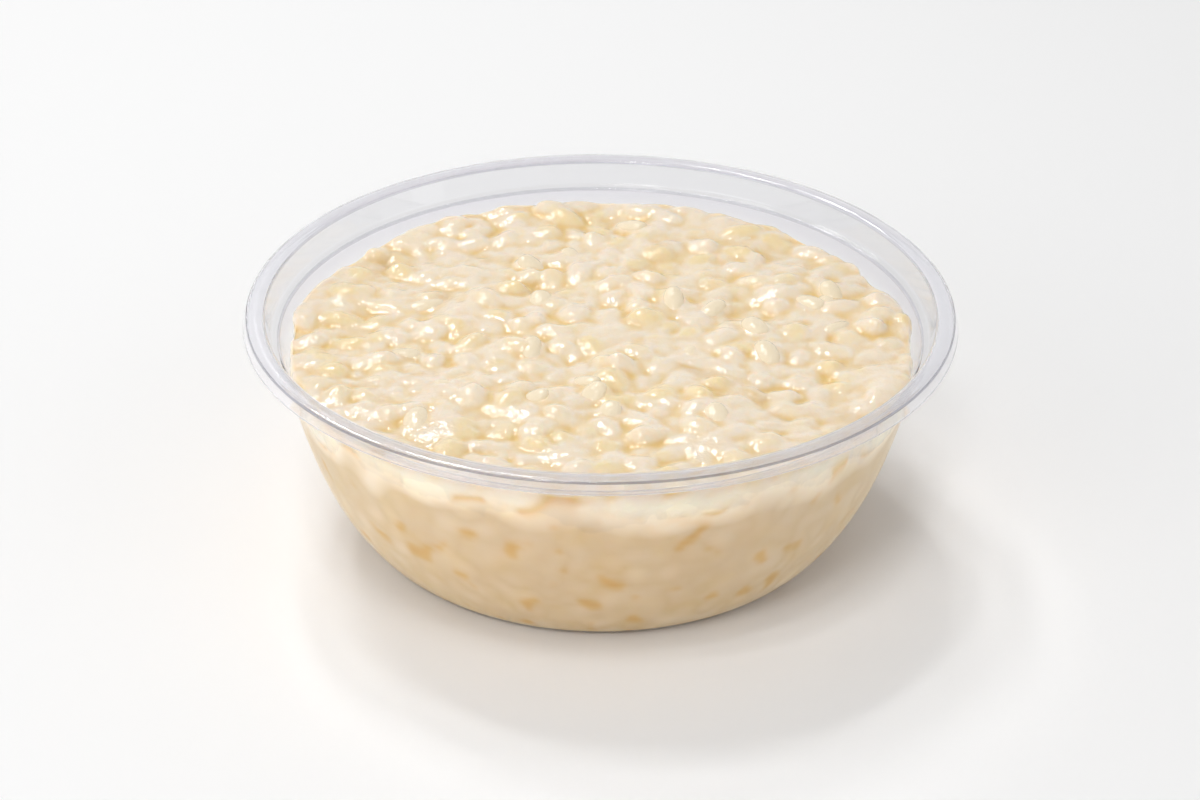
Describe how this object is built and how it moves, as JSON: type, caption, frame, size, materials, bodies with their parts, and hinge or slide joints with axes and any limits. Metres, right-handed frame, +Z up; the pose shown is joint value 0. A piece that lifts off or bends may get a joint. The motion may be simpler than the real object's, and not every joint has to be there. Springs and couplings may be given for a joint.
{
  "type": "rice pudding in a bowl",
  "caption": "Creamy rice pudding with a lumpy top, filling a round, thin, clear deli bowl with a flanged rim almost to the lid seat.",
  "frame": {"origin": "centre of the bowl's flat base, on the surface that it stands on", "axes": "+Z up, along the bowl's axis of revolution; the bowl has no front, so +X and +Y are any two directions at right angles to it"},
  "size_m": [0.142, 0.142, 0.0495],
  "materials": {
    "clear_plastic": "clear, very slightly hazy thermoformed sheet, glossy on both sides",
    "cream_pudding": null
  },
  "bodies": {
    "root": {"bowl": "clear_plastic", "rice_pudding": "cream_pudding"}
  },
  "joints": []
}
